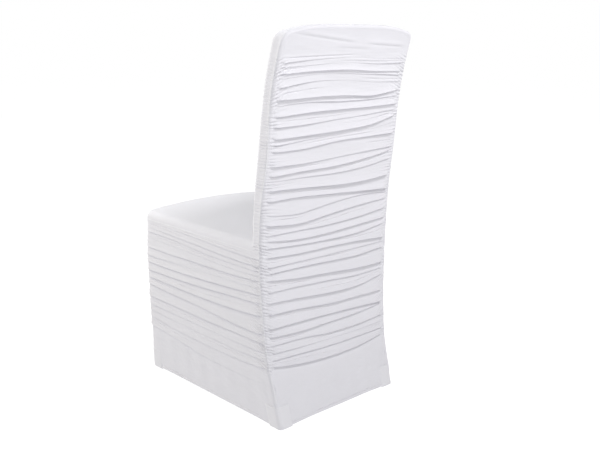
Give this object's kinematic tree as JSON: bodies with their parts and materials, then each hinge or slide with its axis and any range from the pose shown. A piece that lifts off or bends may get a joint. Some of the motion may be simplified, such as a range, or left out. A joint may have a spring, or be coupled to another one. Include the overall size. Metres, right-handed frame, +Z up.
{
  "type": "stretch chair cover",
  "caption": "Full-length stretch cloth cover for a high-backed dining chair, gathered across its back and skirt, smooth over the seat, with foot pockets at the hem.",
  "frame": {"origin": "middle of the cover's outline on the floor: halfway between its sides and halfway between its front and its rearmost point, at the height of the foot pockets' soles", "axes": "+Z up; the sitter faces -Y, so the gathered rear panel faces +Y; +X is the sitter's left"},
  "size_m": [0.4724, 0.6028, 1.012],
  "materials": {
    "stretch_cloth": "matt knitted stretch cloth",
    "doubled_cloth": "matt knitted stretch cloth, two layers"
  },
  "bodies": {
    "root": {"rear_panel": "stretch_cloth", "inside_back": "stretch_cloth", "boxing_strip": "stretch_cloth", "seat_panel": "stretch_cloth", "front_skirt": "stretch_cloth", "side_panel_left": "stretch_cloth", "side_panel_right": "stretch_cloth", "foot_pocket_rear_left": "doubled_cloth", "foot_pocket_rear_right": "doubled_cloth", "foot_pocket_front_left": "doubled_cloth", "foot_pocket_front_right": "doubled_cloth"}
  },
  "joints": []
}
